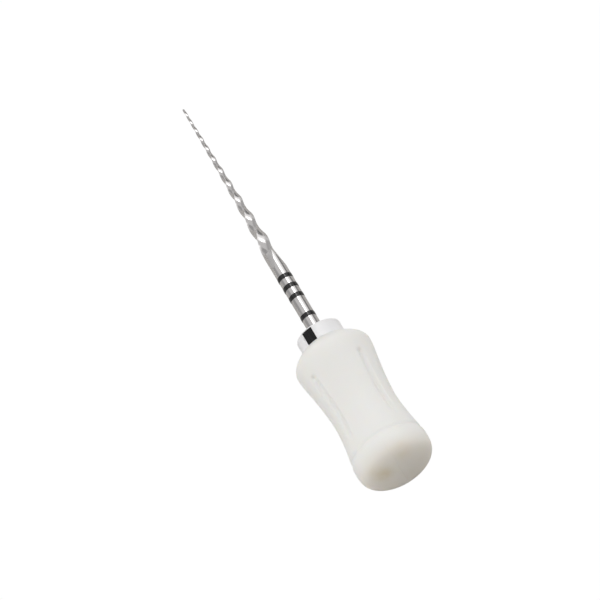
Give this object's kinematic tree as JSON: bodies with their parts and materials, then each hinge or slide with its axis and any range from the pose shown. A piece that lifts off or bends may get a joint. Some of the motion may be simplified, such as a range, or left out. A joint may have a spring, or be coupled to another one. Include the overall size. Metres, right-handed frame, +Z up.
{
  "type": "endodontic hand file",
  "caption": "Hand file with a tapered three-edged twisted blade, black depth rings on the shank, a collar, and a soft waisted grip with a domed end.",
  "frame": {"origin": "middle of the object's bounding box in X and Y, on the surface that the object lies on", "axes": "+X along the file's axis towards the tip, +Z up with one finger panel of the grip facing up, +Y to the left when looking along +X"},
  "size_m": [0.0386, 0.0066, 0.0067],
  "materials": {
    "nickel_titanium": "fine ground",
    "black_lacquer": "gloss lacquer",
    "black_ink": "printed ink",
    "white_plastic": "satin",
    "white_silicone": "satin"
  },
  "bodies": {
    "root": {"file_blade": "nickel_titanium", "depth_mark_18mm": "black_lacquer", "depth_mark_19mm": "black_lacquer", "depth_mark_20mm": "black_lacquer", "depth_mark_22mm": "black_lacquer", "handle_core": "white_plastic", "size_mark": "black_ink", "grip_sleeve": "white_silicone"}
  },
  "joints": []
}
